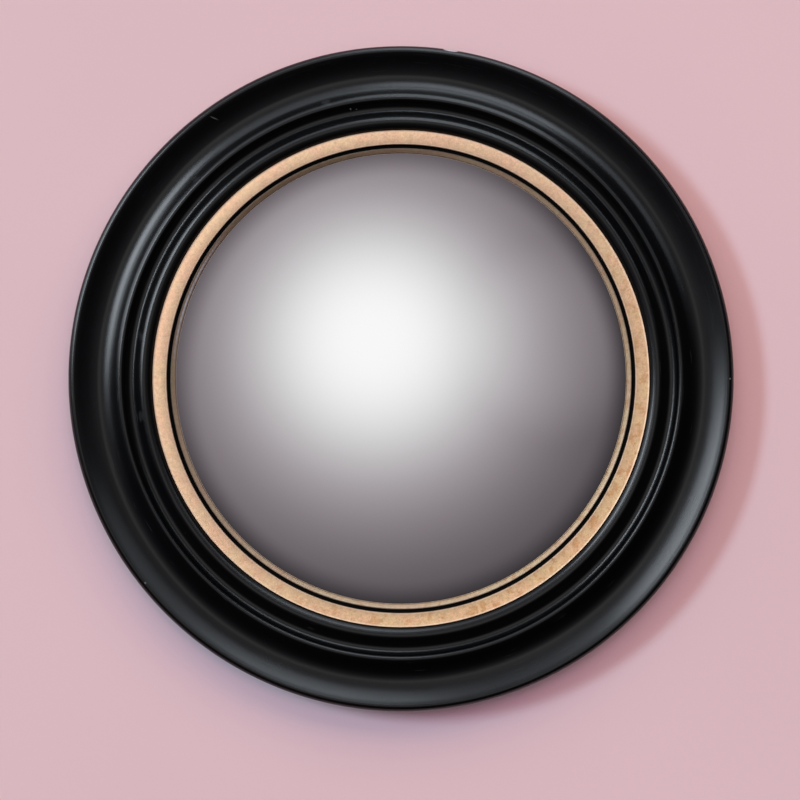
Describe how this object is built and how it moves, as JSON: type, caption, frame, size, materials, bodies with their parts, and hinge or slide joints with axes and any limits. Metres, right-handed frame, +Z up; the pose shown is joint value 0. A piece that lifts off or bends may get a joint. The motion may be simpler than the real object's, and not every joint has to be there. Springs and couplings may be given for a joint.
{
  "type": "framed convex wall mirror",
  "caption": "Round convex wall mirror in a moulded black frame with a gilt inner band, turn buttons on the back and a hinged hanging ring.",
  "frame": {"origin": "centre of the bounding box, on the mirror's axis", "axes": "+Z up, -Y out of the wall along the mirror's axis, +X to the viewer's right"},
  "size_m": [0.38, 0.0414, 0.38],
  "materials": {
    "black_lacquer": "satin black lacquer",
    "gilt_paint": "matt gilt paint, lightly worn",
    "ebonised_paint": "matt black",
    "silvered_glass": "polished",
    "black_felt": "felt",
    "grey_foam": "closed-cell foam",
    "bare_fibreboard": "bare",
    "brown_hardboard": "bare hardboard",
    "zinc_plated_steel": "zinc plated",
    "brass_plated_steel": "brass plated",
    "grey_rubber": "matt"
  },
  "bodies": {
    "framed_mirror": {"cove_ring": "black_lacquer", "bead_ring": "black_lacquer", "gilt_band": "gilt_paint", "ebonised_slip": "ebonised_paint", "sight_ring": "gilt_paint", "mirror_glass": "silvered_glass", "glass_gasket": "black_felt", "rear_cushion": "grey_foam", "spacer_ring": "bare_fibreboard", "backing_board": "brown_hardboard", "hanger_strap": "brass_plated_steel", "hanger_screw_1": "zinc_plated_steel", "hanger_screw_2": "zinc_plated_steel", "turn_button_screw_1": "zinc_plated_steel", "turn_button_screw_2": "zinc_plated_steel", "turn_button_screw_3": "zinc_plated_steel", "turn_button_screw_4": "zinc_plated_steel", "turn_button_screw_5": "zinc_plated_steel", "turn_button_screw_6": "zinc_plated_steel", "wall_bumper_1": "grey_rubber", "wall_bumper_2": "grey_rubber", "wall_bumper_3": "grey_rubber", "wall_bumper_4": "grey_rubber"},
    "turn_button_1": {"turn_button_1": "zinc_plated_steel"},
    "turn_button_2": {"turn_button_2": "zinc_plated_steel"},
    "turn_button_3": {"turn_button_3": "zinc_plated_steel"},
    "turn_button_4": {"turn_button_4": "zinc_plated_steel"},
    "turn_button_5": {"turn_button_5": "zinc_plated_steel"},
    "turn_button_6": {"turn_button_6": "zinc_plated_steel"},
    "hanging_ring": {"hanging_ring": "brass_plated_steel"}
  },
  "joints": [
    {"name": "turn_button_1_pivot", "type": "hinge", "parent": "framed_mirror", "child": "turn_button_1", "pos_m": [0.163, 0.01701, 0], "axis": [0, 1, 0], "continuous": true},
    {"name": "turn_button_2_pivot", "type": "hinge", "parent": "framed_mirror", "child": "turn_button_2", "pos_m": [0.0815, 0.01701, 0.14116], "axis": [0, 1, 0], "continuous": true},
    {"name": "turn_button_3_pivot", "type": "hinge", "parent": "framed_mirror", "child": "turn_button_3", "pos_m": [-0.0815, 0.01701, 0.14116], "axis": [0, 1, 0], "continuous": true},
    {"name": "turn_button_4_pivot", "type": "hinge", "parent": "framed_mirror", "child": "turn_button_4", "pos_m": [-0.163, 0.01701, 0], "axis": [0, 1, 0], "continuous": true},
    {"name": "turn_button_5_pivot", "type": "hinge", "parent": "framed_mirror", "child": "turn_button_5", "pos_m": [-0.0815, 0.01701, -0.14116], "axis": [0, 1, 0], "continuous": true},
    {"name": "turn_button_6_pivot", "type": "hinge", "parent": "framed_mirror", "child": "turn_button_6", "pos_m": [0.0815, 0.01701, -0.14116], "axis": [0, 1, 0], "continuous": true},
    {"name": "hanging_ring_hinge", "type": "hinge", "parent": "framed_mirror", "child": "hanging_ring", "pos_m": [0, 0.01841, 0.1735], "axis": [-1, 0, 0], "range_deg": [-4, 170]}
  ]
}
